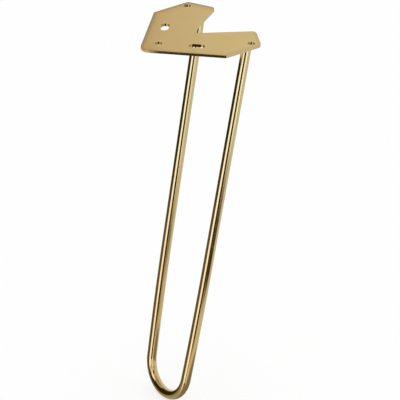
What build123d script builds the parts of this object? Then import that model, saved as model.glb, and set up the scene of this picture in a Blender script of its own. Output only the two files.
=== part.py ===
from build123d import *
import os
from math import cos, radians, sin, sqrt, tan

# Hairpin table leg: one round rod bent into a narrow U and welded under a two-armed screw plate.
# X runs across the leg, Y from the plate's outer corner inwards along its diagonal, Z up.
# The origin is on the axis of the corner screw hole, on the plate's top face, which lies
# against the underside of the table. All sizes are in millimetres and degrees.

# Rod
LEG_HEIGHT = 406.4            # plate's top face to the underside of the foot bend
ROD_DIAMETER = 10.0
ROD_SPACING = 78.0            # between the rod's two ends, axis to axis, at the plate's underside
ROD_ROW = 79.0                # corner hole to the line through the rod's two ends
SPLAY_ANGLE = 10.37           # lean of the hairpin towards the outer corner, from the vertical
TAPER_ANGLE = 0.99            # lean of each run of rod towards the other, at the plate
BOW_RADIUS = 3500.0           # slow inward bow at the foot of each run, at the rod's axis
BOW_TURN = 2.22               # how far each bow turns before the tight tip bend

# Plate
PLATE_THICKNESS = 3.0
EDGE_INSET = 16.3             # corner hole and slots, in from the plate's outer edges
SIDE_MARGIN = 21.3            # rod axis out to the plate's flat side
TIP_MARGIN = 14.2             # rod axis in to the arm's tip, along Y
MOUTH_MARGIN = 5.9            # rod axis to the arm's tip, along X
NOTCH_DEPTH = 54.1            # arm tips to the bottom of the notch between the arms
OUTER_CORNER_RADIUS = 9.2
SIDE_CORNER_RADIUS = 2.0
ARM_CORNER_RADIUS = 5.0
NOTCH_RADIUS = 2.0
EDGE_BREAK = 0.2              # bevel that takes the sharpness off the rim, top and bottom

# Screw holes and slots
SCREW_HOLE_DIAMETER = 7.0
END_HOLE_INSET = 7.5          # in from the plate's flat side
END_HOLE_DROP = 6.4           # from the line through the rod's ends, towards the corner
SLOT_DISTANCE = 37.5          # corner hole to the middle of a slot, along the arm
SLOT_LENGTH = 15.6
SLOT_WIDTH = 8.0

# Weld
WELD_LEG = 3.5                # from the rod's surface out over the plate, and down the rod

UNDERSIDE = -PLATE_THICKNESS
MIRRORED = (1, -1)


def plate_outline():
    """The half outline from the outer corner round to the notch, mirrored into a closed face."""
    side_x = ROD_SPACING / 2 + SIDE_MARGIN
    tip_x = ROD_SPACING / 2 - MOUTH_MARGIN
    tip_y = ROD_ROW + TIP_MARGIN
    corner_y = -EDGE_INSET * sqrt(2)
    outer_corner = (0, corner_y)
    side_start = (side_x, corner_y + side_x)
    side_end = (side_x, ROD_ROW)
    arm_tip = (tip_x, tip_y)
    notch_bottom = (0, tip_y - NOTCH_DEPTH)
    right = [side_start, side_end, arm_tip]
    left = [(-x, y) for x, y in reversed(right)]
    face = make_face(Polyline(outer_corner, *right, notch_bottom, *left, close=True))
    corners = {
        OUTER_CORNER_RADIUS: [outer_corner],
        SIDE_CORNER_RADIUS: [side_start, left[-1]],
        ARM_CORNER_RADIUS: [side_end, arm_tip, left[0], left[1]],
    }
    for radius, points in corners.items():
        face = fillet([nearest_corner(face, point) for point in points], radius)
    return fillet([nearest_corner(face, notch_bottom)], NOTCH_RADIUS)


def nearest_corner(face, point):
    """The vertex of a face that lies at, or closest to, a point of the outline."""
    return face.vertices().sort_by_distance(Vector(*point))[0]


def screw_openings():
    """The corner hole, one hole near each arm's end and one slot along each arm."""
    hole = Circle(SCREW_HOLE_DIAMETER / 2)
    slot = SlotOverall(SLOT_LENGTH, SLOT_WIDTH)
    end_x = ROD_SPACING / 2 + SIDE_MARGIN - END_HOLE_INSET
    end_y = ROD_ROW - END_HOLE_DROP
    along = SLOT_DISTANCE / sqrt(2)
    openings = [hole]
    for side in MIRRORED:
        openings.append(Pos(side * end_x, end_y) * hole)
        openings.append(Pos(side * along, along) * Rot(0, 0, side * 45) * slot)
    return openings


def make_plate():
    """The flat plate with its rim bevelled, then pierced."""
    blank = extrude(plate_outline(), amount=-PLATE_THICKNESS)
    faces = blank.faces().sort_by(Axis.Z)
    blank = chamfer(faces[0].edges() + faces[-1].edges(), EDGE_BREAK)
    for opening in screw_openings():
        blank -= extrude(opening, amount=-PLATE_THICKNESS)
    return blank


def hairpin_plane():
    """The leaning plane that the rod is bent in: local X across, local Y up the leg."""
    lean = radians(SPLAY_ANGLE)
    return Plane(origin=(0, ROD_ROW, UNDERSIDE), x_dir=(1, 0, 0), z_dir=(0, -cos(lean), sin(lean)))


def hairpin_path():
    """The rod's axis: a straight run, a slow bow, the tip bend, and the same back up.

    The straight length and the tip radius follow from two lengths that have to add up:
    half the width where the tip bend starts, and the distance down the leg to the tip.
    """
    taper = radians(TAPER_ANGLE)
    turned = radians(TAPER_ANGLE + BOW_TURN)
    tip_drop = (LEG_HEIGHT - PLATE_THICKNESS - ROD_DIAMETER / 2) / cos(radians(SPLAY_ANGLE))
    bow_width = BOW_RADIUS * (cos(taper) - cos(turned))
    bow_drop = BOW_RADIUS * (sin(turned) - sin(taper))
    drop_per_width = (1 - sin(turned)) / cos(turned)
    tip_width = ROD_SPACING / 2 - bow_width
    run_drop = (tip_drop - bow_drop - drop_per_width * tip_width) / (1 - drop_per_width * tan(taper))
    tip_radius = (tip_width - run_drop * tan(taper)) / cos(turned)

    spare = ROD_DIAMETER
    top = (ROD_SPACING / 2 + spare * tan(taper), spare)
    run_end = (ROD_SPACING / 2 - run_drop * tan(taper), -run_drop)
    run = Line(top, run_end)
    near_bow = JernArc(run @ 1, run % 1, BOW_RADIUS, -BOW_TURN)
    tip_turn = 180 - 2 * (TAPER_ANGLE + BOW_TURN)
    tip = JernArc(near_bow @ 1, near_bow % 1, tip_radius, -tip_turn)
    far_bow = JernArc(tip @ 1, tip % 1, BOW_RADIUS, -BOW_TURN)
    back = Line(far_bow @ 1, (-top[0], top[1]))
    return hairpin_plane() * Wire([run, near_bow, tip, far_bow, back])


def make_rod_blank():
    """The bent rod, with both ends left long enough to be cut level."""
    path = hairpin_path()
    section = Plane(path @ 0, z_dir=path % 0) * Circle(ROD_DIAMETER / 2)
    return sweep(section, path=path)


def below_plate(solid):
    """What is left of a solid under the plate's underside."""
    return split(solid, bisect_by=Plane.XY.offset(UNDERSIDE), keep=Keep.BOTTOM)


def make_weld_beads(rod_blank):
    """A quarter-round bead in the angle between each rod end and the plate."""
    ring = Torus(ROD_DIAMETER / 2, WELD_LEG)
    beads = []
    for side in MIRRORED:
        bead = below_plate(Pos(side * ROD_SPACING / 2, ROD_ROW, UNDERSIDE) * ring) - rod_blank
        beads.append(bead.solid())
    return Compound(children=beads)


rod_blank = make_rod_blank()
nodes = {
    "top_plate": make_plate(),
    "hairpin_rod": below_plate(rod_blank),
    "weld_beads": make_weld_beads(rod_blank),
}

os.makedirs("parts", exist_ok=True)
for name, shape in nodes.items():
    export_step(shape, f"parts/{name}.step")
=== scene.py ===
from math import cos, pi, radians, sin, tan

import bpy
import numpy as np
from mathutils import Matrix, Vector


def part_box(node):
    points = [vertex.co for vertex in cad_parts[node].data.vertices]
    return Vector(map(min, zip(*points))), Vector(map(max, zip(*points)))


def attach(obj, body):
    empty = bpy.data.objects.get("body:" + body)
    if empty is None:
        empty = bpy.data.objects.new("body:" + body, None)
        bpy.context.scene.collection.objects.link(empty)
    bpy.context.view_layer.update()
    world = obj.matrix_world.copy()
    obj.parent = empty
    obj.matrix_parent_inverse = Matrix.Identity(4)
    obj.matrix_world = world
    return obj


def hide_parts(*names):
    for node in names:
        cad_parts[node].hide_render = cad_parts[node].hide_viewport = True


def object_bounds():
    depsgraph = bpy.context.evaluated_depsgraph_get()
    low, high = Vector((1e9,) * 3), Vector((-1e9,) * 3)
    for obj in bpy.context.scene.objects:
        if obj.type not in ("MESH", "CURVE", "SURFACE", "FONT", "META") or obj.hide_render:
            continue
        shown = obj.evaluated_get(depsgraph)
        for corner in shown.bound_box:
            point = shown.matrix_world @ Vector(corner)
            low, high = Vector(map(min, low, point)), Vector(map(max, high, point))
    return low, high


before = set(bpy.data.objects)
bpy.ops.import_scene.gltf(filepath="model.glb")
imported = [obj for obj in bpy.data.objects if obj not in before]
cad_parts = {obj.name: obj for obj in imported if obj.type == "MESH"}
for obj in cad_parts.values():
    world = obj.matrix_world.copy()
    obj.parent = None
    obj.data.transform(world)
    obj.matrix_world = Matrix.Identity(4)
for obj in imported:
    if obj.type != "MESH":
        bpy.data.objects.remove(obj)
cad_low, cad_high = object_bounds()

# A hairpin table leg in brass: a bent rod welded under a two-armed screw plate.
# Metres, in the frame of the solids: X across, Y from the plate's outer corner inwards, Z up.

# Levels
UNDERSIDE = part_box("top_plate")[0].z
FLOOR_LEVEL = cad_low.z

# Rod
ROD_RADIUS = 0.0050
ROD_SPACING = 0.0780          # between the rod's two ends, at the plate's underside
ROD_ROW = 0.0790              # corner hole to the line through the rod's two ends
LEG_HEIGHT = 0.4064
LEAN = radians(10.37)         # of the hairpin's plane, from the vertical
TAPER = radians(0.99)         # of each run towards the other, at the plate
BOW_RADIUS = 3.5
BOW_TURN = radians(2.22)
RING_POINTS = 72
BEND_STEP = radians(1.5)      # turn between rings round the tip bend
RUN_STEP = 0.008              # between rings along the runs
LEVEL_END = 0.006             # rod left for the level cut at either end

# Rod's colour, along the rod
TIP_ALONG = 0.42              # from the rod's end to about the tip of the bend
WARM_FOOT = (0.36, 0.06)      # from the tip: where the warmer, darker colour starts, and where it is full

# Plate's outline, right half, before its corners are rounded
CORNER_REACH = 0.02305        # corner hole to the outer corner
PLATE_SIDE = 0.0603
OUTER_CORNER = (0.0, -CORNER_REACH)
SIDE_START = (PLATE_SIDE, PLATE_SIDE - CORNER_REACH)
SIDE_END = (PLATE_SIDE, ROD_ROW)
ARM_TIP = (0.0331, 0.0932)
NOTCH_BOTTOM = (0.0, 0.0391)

# Plate's finish and painted shade, in from the outline: where each starts, and where it is full
# The darker rim is painted shade, strongest on the left arm; its added roughness is wear.
RIM_WEAR_AND_SHADE = (0.0056, 0.0012)
RIM_BORDER_WANDER = 0.0012          # how far the border of the rim's wear and painted shade wanders
# Painted warm shade on the left arm's rim and round the outer corner.
WARM_SHADE_RIM = (0.014, 0.0)
WARM_SHADE_CORNER = (0.024, 0.005)  # from the outer corner itself
SAWN_WALL = (0.0038, 0.0028)  # walls further in than this are those of holes and notch
# The hole walls' darker colour is painted shade.
HOLE_WALL = (0.001, 0.003)    # from the notch's edge
WALL_FADE = 0.0003            # depth over which the faces' finish passes into the walls'
ARM_FADE = 0.012              # half the width over which the left arm's rim passes into the right's

# Weld
WELD_LEG = 0.0035
BEAD_SHARE = 0.95             # mean leg of the rippled bead, as a share of the weld's leg
WELD_RIPPLES = 26
RIPPLE_DEPTH = 0.07           # share of the bead's leg
RIPPLE_SLANT = 1.1            # how far the ripples bow along the bead, in radians of ripple
BEAD_POINTS = 416
SECTION_POINTS = 14

SHARP_ANGLE = radians(35)     # edges that turn by more than this aren't smoothed

# Camera, as the photograph was taken
VIEW_AZIMUTH = radians(53.766)
VIEW_ELEVATION = radians(28.812)
VIEW_ROLL = radians(0.191)
VIEW_BACK = Vector((sin(VIEW_AZIMUTH), -cos(VIEW_AZIMUTH), tan(VIEW_ELEVATION))).normalized()
VIEW_AIM = Vector((0.08292, -0.01042, -0.13281))
VIEW_DISTANCE = 2.926
VIEW_PLACE = VIEW_AIM + VIEW_DISTANCE * VIEW_BACK
LENS = 271.90                 # millimetres
SENSOR_WIDTH = 36.0           # millimetres
FAR_LIMIT = 100.0

# Studio
FLOOR_SIZE = 24.0
FLOOR_LIFT = 0.70             # how much of the paper's white is there without light
SET_MIDDLE = (0.0, 0.045)     # what the cards stand round, in plan
CARD_COLUMNS = 24
FOOT = Vector((0.0, 0.0061, FLOOR_LEVEL - 0.0005))      # under the tip, just below the floor
FOOT_SHADE = FOOT + Vector((0.055, 0.034, 0.0))
OVERHEAD = FOOT + Vector((0.0, 0.0, 3.0))


class Value:
    """A shader socket that can stand in a Python expression. Each operator adds one Math node."""

    def __init__(self, socket):
        self.socket = socket

    def node(self, kind, settings, inputs, output=0):
        """A new node beside this one: its settings first, then values or links for its sockets."""
        tree = self.socket.id_data
        made = tree.nodes.new(kind)
        for name, setting in settings.items():
            setattr(made, name, setting)
        for name, given in inputs.items():
            if isinstance(given, Value):
                tree.links.new(given.socket, made.inputs[name])
            else:
                made.inputs[name].default_value = given
        return Value(made.outputs[output])

    def math(self, operation, first, second=0.0):
        return self.node("ShaderNodeMath", {"operation": operation}, {0: first, 1: second})

    def __add__(self, other):
        return self.math("ADD", self, other)

    def __sub__(self, other):
        return self.math("SUBTRACT", self, other)

    def __mul__(self, other):
        return self.math("MULTIPLY", self, other)

    def __rsub__(self, other):
        return self.math("SUBTRACT", other, self)

    __radd__ = __add__
    __rmul__ = __mul__

    def __abs__(self):
        return self.math("ABSOLUTE", self)

    def least(self, other):
        return self.math("MINIMUM", self, other)

    def part(self, number):
        """One part of this vector: 0, 1 or 2."""
        return self.node("ShaderNodeSeparateXYZ", {}, {"Vector": self}, output=number)

    def ramp(self, low, high):
        """0 below low, 1 above high, smooth between them. It falls where low is above high."""
        limits = {"Value": self, "From Min": low, "From Max": high}
        return self.node("ShaderNodeMapRange", {"interpolation_type": "SMOOTHSTEP"}, limits)

    def stretched(self, across, along, through):
        """This vector with each of its parts multiplied by a number."""
        factors = {0: self, 1: (across, along, through)}
        return self.node("ShaderNodeVectorMath", {"operation": "MULTIPLY"}, factors)

    def distance(self, point):
        """How far this vector lies from a point."""
        ends = {0: self, 1: point}
        return self.node("ShaderNodeVectorMath", {"operation": "DISTANCE"}, ends, output=1)

    def noise(self, scale, detail):
        """Cloudy values round 0.5 at this vector."""
        inputs = {"Vector": self, "Scale": scale, "Detail": detail}
        return self.node("ShaderNodeTexNoise", {}, inputs)

    def scratches(self, scale, width):
        """1 on thin crossing lines, 0 between them: the borders of stretched cells."""
        inputs = {"Vector": self, "Scale": scale}
        cells = self.node("ShaderNodeTexVoronoi", {"feature": "DISTANCE_TO_EDGE"}, inputs)
        return cells.ramp(width, 0.0)

    def tint(self, colour_at_0, colour_at_1):
        """A colour between two, by this value."""
        inputs = {0: self, 6: colour_at_0, 7: colour_at_1}
        return self.node("ShaderNodeMix", {"data_type": "RGBA"}, inputs, output=2)

    def bump(self, depth):
        """A normal that follows this height, which is depth metres high where it is 1."""
        return self.node("ShaderNodeBump", {}, {"Height": self, "Distance": depth, "Strength": 1.0})


def start_material(name, coordinates):
    """A new material, and its coordinates: Object, or UV where a pattern follows the surface."""
    material = bpy.data.materials.new(name)
    material.use_nodes = True
    place = material.node_tree.nodes.new("ShaderNodeTexCoord")
    return material, Value(place.outputs[coordinates])


def dress(material, linked, fixed):
    """Links what varies over the surface to the shader, and sets what is the same all over."""
    shader = material.node_tree.nodes["Principled BSDF"]
    for name, value in linked.items():
        material.node_tree.links.new(value.socket, shader.inputs[name])
    for name, value in fixed.items():
        shader.inputs[name].default_value = value
    return material


def dress_metal(material, colour, roughness, normal):
    """Bare metal, with its colour, roughness and fine relief from nodes."""
    linked = {"Base Color": colour, "Roughness": roughness, "Normal": normal}
    return dress(material, linked, {"Metallic": 1.0})


def dress_glow(material, shown, colour):
    """A surface that only gives off its own colour, where it is shown."""
    linked = {"Alpha": shown, "Emission Color": colour}
    fixed = {"Base Color": (0, 0, 0, 1), "Roughness": 1.0, "Specular IOR Level": 0.0}
    return dress(material, linked, {**fixed, "Emission Strength": 1.0})


def inside_edge(x, y, start, end):
    """How far inside the plate a place lies, from the straight edge between two of its corners."""
    along = (Vector(end) - Vector(start)).normalized()
    return (y - start[1]) * along.x - (x - start[0]) * along.y


def plate_brass():
    """Satin brass on rolled sheet: fine grain along X, pale sawn walls, a dulled rim darkened with
    painted shade, painted shade in the holes, and warm painted shade on the left arm's rim and round
    the outer corner.
    """
    bright, cloudy = (0.592, 0.430, 0.157, 1), (0.576, 0.415, 0.149, 1)
    # The warm tint, the darker rim's tint and the hole walls' tint are painted shade.
    warm_shade_tint, rim_shade_tint = (0.535, 0.352, 0.108, 1), (0.345, 0.243, 0.100, 1)
    sawn_tint, hole_shade_tint = (0.610, 0.470, 0.265, 1), (0.390, 0.268, 0.102, 1)
    material, place = start_material("plate_brass", "Object")
    across, y, z = place.part(0), place.part(1), place.part(2)
    x = abs(across)
    rim = inside_edge(x, y, OUTER_CORNER, SIDE_START)
    rim = rim.least(inside_edge(x, y, SIDE_START, SIDE_END))
    rim = rim.least(inside_edge(x, y, SIDE_END, ARM_TIP))
    notch = inside_edge(x, y, ARM_TIP, NOTCH_BOTTOM)
    cloud = place.noise(38.0, 2.0)
    patchy = place.noise(420.0, 3.0)
    grain = place.stretched(120.0, 2600.0, 2600.0).noise(1.0, 4.0)
    scratch = place.stretched(60.0, 90.0, 90.0).scratches(3.0, 0.012)
    corner = place.distance((*OUTER_CORNER, 0.0))
    left = across.ramp(ARM_FADE, -ARM_FADE)
    # The darker rim: its added roughness is wear, its darker colour painted shade, strongest on the
    # left arm.
    rim_wear_and_shade = (rim + patchy * RIM_BORDER_WANDER).ramp(*RIM_WEAR_AND_SHADE) * (0.3 + 0.7 * left)
    # Painted warm shade on the left arm's rim and round the outer corner.
    warm = rim.ramp(*WARM_SHADE_RIM) * left
    warm = 1.0 - (1.0 - warm) * (1.0 - corner.ramp(*WARM_SHADE_CORNER))
    wall = z.ramp(0.0, -WALL_FADE) * z.ramp(UNDERSIDE, UNDERSIDE + WALL_FADE)
    outer = rim.ramp(*SAWN_WALL)
    sawn = wall * outer
    # The hole walls' darker colour is painted shade.
    hole = wall * (1.0 - outer) * notch.ramp(*HOLE_WALL)
    colour = cloud.ramp(0.3, 0.75).tint(bright, cloudy)
    # The warm, darker-rim and hole-wall colours laid on below are painted shade.
    colour = warm.tint(colour, warm_shade_tint)
    colour = rim_wear_and_shade.tint(colour, rim_shade_tint)
    colour = sawn.tint(colour, sawn_tint)
    colour = hole.tint(colour, hole_shade_tint)
    roughness = 0.07 + cloud * 0.05 + grain * 0.03 + scratch * 0.04 + rim_wear_and_shade * 0.03
    return dress_metal(material, colour, roughness, (grain * 0.8 - scratch * 0.5).bump(0.000004))


def rod_brass():
    """Bright drawn brass: hair-fine marks along the rod, a few scratches, handling smudges."""
    pale, pale_cloudy = (0.622, 0.508, 0.262, 1), (0.592, 0.478, 0.242, 1)
    warm, warm_cloudy = (0.610, 0.448, 0.206, 1), (0.585, 0.424, 0.187, 1)
    material, place = start_material("rod_brass", "UV")
    drawn = place.stretched(5200.0, 22.0, 1.0).noise(1.0, 3.0)
    smudge = place.noise(70.0, 3.0).ramp(0.5, 0.72)
    scratch = place.stretched(900.0, 140.0, 1.0).scratches(0.6, 0.010)
    cloud = place.noise(24.0, 2.0).ramp(0.3, 0.7)
    foot = abs(place.part(1) - TIP_ALONG).ramp(*WARM_FOOT)
    colour = foot.tint(cloud.tint(pale, pale_cloudy), cloud.tint(warm, warm_cloudy))
    roughness = 0.06 + drawn * 0.05 + smudge * 0.05 + scratch * 0.10
    return dress_metal(material, colour, roughness, (drawn - scratch).bump(0.000002))


def weld_brass():
    """Brass over a weld: grainy and duller than the rod, in soft clouds."""
    dull, bright = (0.560, 0.400, 0.190, 1), (0.600, 0.450, 0.225, 1)
    material, place = start_material("weld_brass", "Object")
    grain = place.noise(1800.0, 4.0)
    cloud = place.noise(260.0, 2.0)
    roughness = 0.24 + cloud * 0.16 + grain * 0.10
    return dress_metal(material, cloud.tint(dull, bright), roughness, grain.bump(0.00003))


def floor_paper():
    """White paper that takes a soft shadow. From below it is clear, so that the leg can be seen."""
    material, place = start_material("floor_paper", "Object")
    tree = material.node_tree
    fibre = place.noise(900.0, 2.0).tint((0.978, 0.978, 0.976, 1), (0.986, 0.986, 0.984, 1))
    dress(material, {"Base Color": fibre}, {"Roughness": 0.9})
    paper = Value(tree.nodes["Principled BSDF"].outputs["BSDF"])
    path = tree.nodes.new("ShaderNodeLightPath").outputs
    rays = ("Is Camera Ray", "Is Glossy Ray", "Is Transmission Ray")
    looked_at = sum(Value(path[name]) for name in rays)
    white = paper.node("ShaderNodeEmission", {}, {"Color": (1, 1, 1, 1), "Strength": 1.0})
    paler = paper.node("ShaderNodeMixShader", {}, {0: looked_at * FLOOR_LIFT, 1: paper, 2: white})
    back = Value(tree.nodes.new("ShaderNodeNewGeometry").outputs["Backfacing"])
    clear = back.node("ShaderNodeBsdfTransparent", {}, {})
    seen = back.node("ShaderNodeMixShader", {}, {0: back, 1: paler, 2: clear})
    tree.links.new(seen.socket, tree.nodes["Material Output"].inputs["Surface"])
    return material


def card_paint(name, low_glow, high_glow, edges):
    """A glow from one colour at a card's foot to another at its top, which fades at the edges."""
    material, place = start_material(name, "UV")
    across, up = place.part(0), place.part(1)
    left, right, bottom, top = edges
    shown = across.ramp(0, left) * across.ramp(1, 1 - right) * up.ramp(0, bottom) * up.ramp(1, 1 - top)
    return dress_glow(material, shown, up.tint((*low_glow, 1), (*high_glow, 1)))


def round_card_paint(name, near_glow, far_glow, middle, slope, radii):
    """A glow that passes from one colour to another along a slope and fades out between two radii.

    The slope, in X and Y, is how much of the way it passes per metre from the foot.
    """
    material, place = start_material(name, "Object")
    shown = place.distance(middle).ramp(radii[1], radii[0])
    passed = (place.part(0) - FOOT.x) * slope[0] + (place.part(1) - FOOT.y) * slope[1]
    return dress_glow(material, shown, passed.ramp(0.0, 1.0).tint((*near_glow, 1), (*far_glow, 1)))


def ring_quads(rows, columns):
    """Corner numbers of the quads of a grid whose columns close on themselves, and their places."""
    row, column = np.mgrid[0:rows - 1, 0:columns]
    rows_of = np.stack([row, row, row + 1, row + 1], axis=-1).reshape(-1, 4)
    columns_of = np.stack([column, column + 1, column + 1, column], axis=-1).reshape(-1, 4)
    return rows_of * columns + columns_of % columns, rows_of, columns_of


def make_object(name, points, faces, material):
    """A smooth-shaded mesh object, sharp only along real edges."""
    mesh = bpy.data.meshes.new(name)
    mesh.from_pydata(points.reshape(-1, 3), [], faces)
    mesh.materials.append(material)
    mesh.shade_smooth()
    mesh.set_sharp_from_angle(angle=SHARP_ANGLE)
    made = bpy.data.objects.new(name, mesh)
    bpy.context.scene.collection.objects.link(made)
    return made


def make_square(name, middle, half, material):
    """A level square sheet, as wide as twice half."""
    corners = np.array([[-half, -half, 0], [half, -half, 0], [half, half, 0], [-half, half, 0]])
    return make_object(name, np.array(middle) + corners, [[0, 1, 2, 3]], material)


def stand_for(piece, node):
    """The piece shows in place of a node of the frame: it hangs from the root body, and the node is
    hidden.
    """
    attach(piece, "root")
    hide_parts(node)


def hairpin_axis():
    """Lengths, headings and places along the rod's axis, in the plane that it is bent in.

    The heading is measured from straight down the plane, towards the other run. It stays at the
    taper on a straight run and grows evenly with length on each bend. The chord between two
    neighbouring rings is their length of arc times sin(h)/h, with h half the turn between them,
    and points along their mean heading.
    """
    turned = TAPER + BOW_TURN
    tip_drop = (LEG_HEIGHT + UNDERSIDE - ROD_RADIUS) / cos(LEAN)
    bow_width = BOW_RADIUS * (cos(TAPER) - cos(turned))
    bow_drop = BOW_RADIUS * (sin(turned) - sin(TAPER))
    drop_per_width = (1 - sin(turned)) / cos(turned)
    tip_width = ROD_SPACING / 2 - bow_width
    run_drop = (tip_drop - bow_drop - drop_per_width * tip_width) / (1 - drop_per_width * tan(TAPER))
    tip_radius = (tip_width - run_drop * tan(TAPER)) / cos(turned)

    run = run_drop / cos(TAPER)
    bow = BOW_RADIUS * BOW_TURN
    tip_turn = pi - 2 * turned
    lengths = np.cumsum([0, run, bow, tip_radius * tip_turn, bow, run])
    headings = np.cumsum([TAPER, 0, BOW_TURN, tip_turn, BOW_TURN, 0])
    bend = np.interp(np.arange(turned, pi - turned, BEND_STEP), headings[2:4], lengths[2:4])
    runs = np.arange(LEVEL_END, lengths[2], RUN_STEP)
    along = np.unique(np.concatenate([lengths, runs, lengths[-1] - runs, bend]))
    heading = np.interp(along, lengths, headings)

    half_turn = np.diff(heading) / 2
    chord = np.diff(along) * np.sinc(half_turn / pi)
    mean = (heading[:-1] + heading[1:]) / 2
    across = ROD_SPACING / 2 - np.concatenate([[0], np.cumsum(chord * np.sin(mean))])
    down = np.concatenate([[0], np.cumsum(chord * np.cos(mean))])
    return along, heading, across, down


def make_rod(material):
    """The bent rod: a circle carried along the hairpin's axis, both ends cut level under the plate.

    A ring's points are the axis point plus the radius times (cos t outwards + sin t out of the
    plane). The points of the two end rings slide along the rod until they meet the underside.
    """
    along, heading, across, down = hairpin_axis()
    x_axis = np.array([1.0, 0.0, 0.0])
    down_axis = np.array([0.0, -sin(LEAN), -cos(LEAN)])
    out_axis = np.array([0.0, -cos(LEAN), sin(LEAN)])
    centre = np.array([0.0, ROD_ROW, UNDERSIDE]) + np.outer(across, x_axis) + np.outer(down, down_axis)
    forward = np.outer(-np.sin(heading), x_axis) + np.outer(np.cos(heading), down_axis)
    outwards = np.outer(np.cos(heading), x_axis) + np.outer(np.sin(heading), down_axis)
    angle = np.linspace(0, 2 * pi, RING_POINTS, endpoint=False)
    ring = np.cos(angle)[:, None] * outwards[:, None, :] + np.sin(angle)[:, None] * out_axis
    points = centre[:, None, :] + ROD_RADIUS * ring
    for end in (0, -1):
        slide = (UNDERSIDE - points[end, :, 2]) / forward[end, 2]
        points[end] += slide[:, None] * forward[end]

    quads, rows_of, columns_of = ring_quads(len(along), RING_POINTS)
    last = (len(along) - 1) * RING_POINTS
    caps = [list(range(RING_POINTS - 1, -1, -1)), list(range(last, last + RING_POINTS))]
    rod = make_object("hairpin_rod_polished", points, quads.tolist() + caps, material)
    around = columns_of * (2 * pi * ROD_RADIUS / RING_POINTS)
    unrolled = np.stack([around, along[rows_of]], axis=-1).reshape(-1, 2)
    cap_flat = ROD_RADIUS * np.stack([np.cos(angle), np.sin(angle)], axis=-1)
    uv = np.concatenate([unrolled, cap_flat[::-1], cap_flat])
    rod.data.uv_layers.new(name="along_rod").data.foreach_set("uv", uv.ravel())
    stand_for(rod, "hairpin_rod")


def make_welds(material):
    """Two weld beads: a quarter-round section carried round each rod end, rippled as it was laid.

    The section's corner is where the rod meets the plate. Its arc has the bead's leg as radius,
    which varies a little round the rod, less a ripple of depth times 1 - |sin|, which bows along
    the bead. What lies lower is moved with the rod's lean, so that the bead stays on the rod.
    """
    turn = np.linspace(0, 2 * pi, BEAD_POINTS, endpoint=False)
    rise = np.linspace(0, pi / 2, SECTION_POINTS)[:, None]
    wave = np.abs(np.sin(turn * WELD_RIPPLES / 2 + RIPPLE_SLANT * np.sin(2 * rise)))
    uneven = 0.03 * np.sin(3 * turn + 0.6) + 0.02 * np.sin(5 * turn)
    leg = WELD_LEG * (BEAD_SHARE + uneven - RIPPLE_DEPTH * (1 - wave) * np.sin(2 * rise) ** 0.5)
    outwards = ROD_RADIUS + leg * np.cos(rise)
    depth = leg * np.sin(rise)
    corner = np.full((1, BEAD_POINTS), ROD_RADIUS)
    outwards = np.concatenate([corner, outwards, corner])
    depth = np.concatenate([corner * 0, depth, corner * 0])
    grid_rows = len(outwards)
    quads = ring_quads(grid_rows, BEAD_POINTS)[0][:, ::-1]
    beads = []
    for side in (1, -1):
        x = side * ROD_SPACING / 2 + outwards * np.cos(turn) - side * depth * tan(TAPER)
        y = ROD_ROW + outwards * np.sin(turn) - depth * tan(LEAN)
        beads.append(np.stack([x, y, UNDERSIDE - depth], axis=-1).reshape(-1, 3))
    faces = np.concatenate([quads, quads + grid_rows * BEAD_POINTS])
    welds = make_object("weld_beads_rippled", np.concatenate(beads), faces.tolist(), material)
    stand_for(welds, "weld_beads")


def make_floor():
    """A wide sheet of white paper under the foot."""
    floor = make_square("floor", (0.0, 0.0, FLOOR_LEVEL), FLOOR_SIZE / 2, floor_paper())
    floor.visible_glossy = False


def mirror_fall(azimuth, height):
    """How far a line of sight falls per metre after the rod has mirrored it towards an azimuth.

    The height above the floor is where the line meets the rod. Mirroring keeps the part p of the
    line along the rod, so the mirrored lines lie on a cone:
    cos(LEAN) sin(e) + sin(LEAN) cos(azimuth) cos(e) = p, where e is the angle of fall.
    """
    sight = (VIEW_PLACE - Vector((*SET_MIDDLE, FLOOR_LEVEL + height))).normalized()
    part = cos(LEAN) * sight.z + sin(LEAN) * sight.y
    level = sin(LEAN) * np.cos(azimuth)
    return np.tan(np.arcsin(part / np.hypot(cos(LEAN), level)) - np.arctan2(level, cos(LEAN)))


def make_card(name, glow, bearings, distance, heights, fades, top_glow=None):
    """A curved card that stands round the leg and shows only in its polish.

    Bearings are degrees from the camera, to the picture's right. Heights are those on the rod,
    above the floor, where the camera sees the card's lower and upper edges mirrored, or would if
    the rod went on so far: an edge lies at that height less the mirrored line's fall over the
    distance. The fades are the widths over which the left, right, lower and upper edges run out.
    """
    sweep, rise = bearings[1] - bearings[0], heights[1] - heights[0]
    edges = fades[0] / sweep, fades[1] / sweep, fades[2] / rise, fades[3] / rise
    across = np.linspace(0, 1, CARD_COLUMNS + 1)
    azimuth = VIEW_AZIMUTH + np.radians(bearings[0] + across * sweep)
    x = SET_MIDDLE[0] + distance * np.sin(azimuth)
    y = SET_MIDDLE[1] - distance * np.cos(azimuth)
    levels = [FLOOR_LEVEL + height - distance * mirror_fall(azimuth, height) for height in heights]
    points = np.concatenate([np.stack([x, y, level], axis=-1) for level in levels])
    start = np.arange(CARD_COLUMNS)
    row = CARD_COLUMNS + 1
    faces = np.stack([start, start + 1, start + row + 1, start + row], axis=-1)
    paint = card_paint(name, glow, top_glow or glow, edges)
    card = make_object(name, points, faces.tolist(), paint)
    flat = np.column_stack([np.tile(across, 2), np.repeat([0.0, 1.0], row)])
    card.data.uv_layers.new(name="card").data.foreach_set("uv", flat[faces].ravel())
    show_only_in_polish(card)


def make_round_card(name, near_glow, far_glow, middle, slope, radii):
    """A level card with a round, faded outline, for what the bend mirrors under and over it."""
    paint = round_card_paint(name, near_glow, far_glow, middle, slope, radii)
    show_only_in_polish(make_square(name, middle, radii[1], paint))


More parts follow.
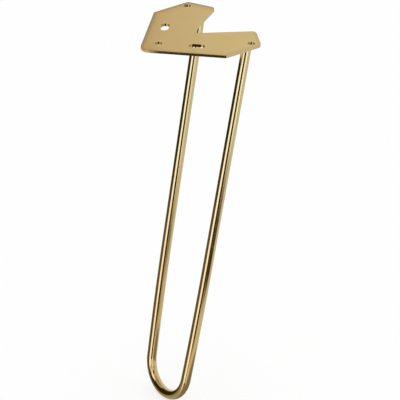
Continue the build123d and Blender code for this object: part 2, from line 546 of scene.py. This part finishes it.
def show_only_in_polish(card):
    """Keeps a card out of the picture and off the floor, so that only the brass shows it."""
    card.visible_camera = False
    card.visible_diffuse = False
    card.visible_shadow = False


def make_surround():
    """An even white surround, which is all the light there is beside the cards."""
    world = bpy.data.worlds.new("white_surround")
    world.use_nodes = True
    world.node_tree.nodes["Background"].inputs["Color"].default_value = (1, 1, 1, 1)
    world.node_tree.nodes["Background"].inputs["Strength"].default_value = 1.0
    bpy.context.scene.world = world


def make_cards():
    """Cards whose mirror images draw the stripes along the rod and the plate's tones."""
    dark, brown, dim = (0.042, 0.032, 0.014), (0.050, 0.033, 0.010), (0.17, 0.148, 0.097)
    tan_low, tan_high = (0.52, 0.49, 0.43), (0.46, 0.43, 0.37)
    white, cool, bright = (1.00, 1.03, 1.10), (1.68, 1.76, 2.12), (1.62, 1.67, 1.80)
    near, low, pale = (0.97, 0.94, 0.89), (1.28, 1.24, 1.16), (0.85, 0.76, 0.66)
    grey, rear, amber = (0.88, 0.88, 0.87), (0.855, 0.815, 0.84), (0.56, 0.44, 0.22)
    shade_near, shade_far, over = (0.64, 0.61, 0.54), (0.33, 0.31, 0.27), (0.58, 0.57, 0.55)

    # Left of the camera
    make_card("dark_card_left", dark, (-150, -58.5), 3.0, (0.06, 2.68), (10, 2, 0.14, 0.45))
    make_card("dim_card_left", dim, (-140, -58.5), 2.9, (-0.12, 0.293), (20, 2, 0.15, 0.12))
    make_card("tan_card_left", tan_low, (-178, -58.5), 3.2, (-2.96, 0.207), (4, 2, 0.1, 0.12), tan_high)
    make_card("bright_card_left", white, (-60, -33), 3.0, (-1.09, -0.138), (2, 6, 0.24, 0.006), cool)
    make_card("bright_card_high", cool, (-60, -22), 3.0, (-0.138, 2.42), (2, 2, 0.006, 0.37))

    # Round the camera and to its right
    make_card("dark_card_camera", brown, (-23, 13), 5.0, (-2.11, 0.525), (2, 2, 0.05, 0.085))
    make_card("dark_card_edge", brown, (-40, -20), 5.0, (-2.3, -0.196), (4, 2, 0.05, 0.1))
    make_card("dark_card_low", brown, (12, 52), 3.4, (-1.2, 0.357), (2, 2, 0.06, 0.057))
    make_card("dark_card_side", brown, (50, 66), 2.0, (-1.1, 0.260), (2, 8, 0.08, 0.10))
    make_card("bright_card_right", bright, (13, 51), 2.0, (0.172, 1.13), (2, 4, 0.13, 0.22))

    # Close to the leg
    make_card("bright_card_near", near, (7, 62), 0.16, (-0.44, 0.168), (3, 10, 0.05, 0.07))
    make_card("bright_card_foot", low, (-14, 8), 0.155, (-0.44, 0.095), (8, 4, 0.05, 0.05))
    make_card("pale_card_corner", pale, (-165, -26), 0.15, (0.375, 0.394), (6, 5, 0.003, 0.003))

    # From the right round to behind the leg
    make_card("grey_card_right", grey, (50, 178), 3.6, (-1.75, 1.10), (2, 4, 0.05, 0.125))
    make_card("grey_card_behind", rear, (175, 200), 1.0, (0.974, 1.338), (10, 5, 0.043, 0.043))

    # Higher than the rod mirrors, for the bend, and for the plate as it is seen from low behind
    make_card("dark_card_over", brown, (-14, 34), 3.0, (1.66, 2.55), (6, 6, 0.13, 0.13))
    make_card("amber_card_left", amber, (-66, -12), 2.6, (0.70, 1.05), (6, 4, 0.05, 0.08))
    make_card("amber_card_right", amber, (30, 70), 1.8, (0.86, 1.22), (4, 10, 0.05, 0.08))

    # Under and over the bend
    make_round_card("foot_shade", shade_near, shade_far, FOOT_SHADE, (40, 55), (0.045, 0.085))
    make_round_card("grey_card_over", over, over, OVERHEAD, (1, 1), (1.4, 2.4))


def place_camera():
    """A long lens at the photograph's angle, with its small roll."""
    data = bpy.data.cameras.new("camera")
    data.sensor_width = SENSOR_WIDTH
    data.lens = LENS
    data.clip_end = FAR_LIMIT
    camera = bpy.data.objects.new("camera", data)
    bpy.context.scene.collection.objects.link(camera)
    turn = VIEW_BACK.to_track_quat("Z", "Y").to_matrix() @ Matrix.Rotation(VIEW_ROLL, 3, "Z")
    camera.matrix_world = Matrix.Translation(VIEW_PLACE) @ turn.to_4x4()
    bpy.context.scene.camera = camera


bpy.context.scene.view_settings.view_transform = "Standard"
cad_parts["top_plate"].material_slots[0].material = plate_brass()
make_rod(rod_brass())
make_welds(weld_brass())
make_floor()
make_surround()
make_cards()
place_camera()
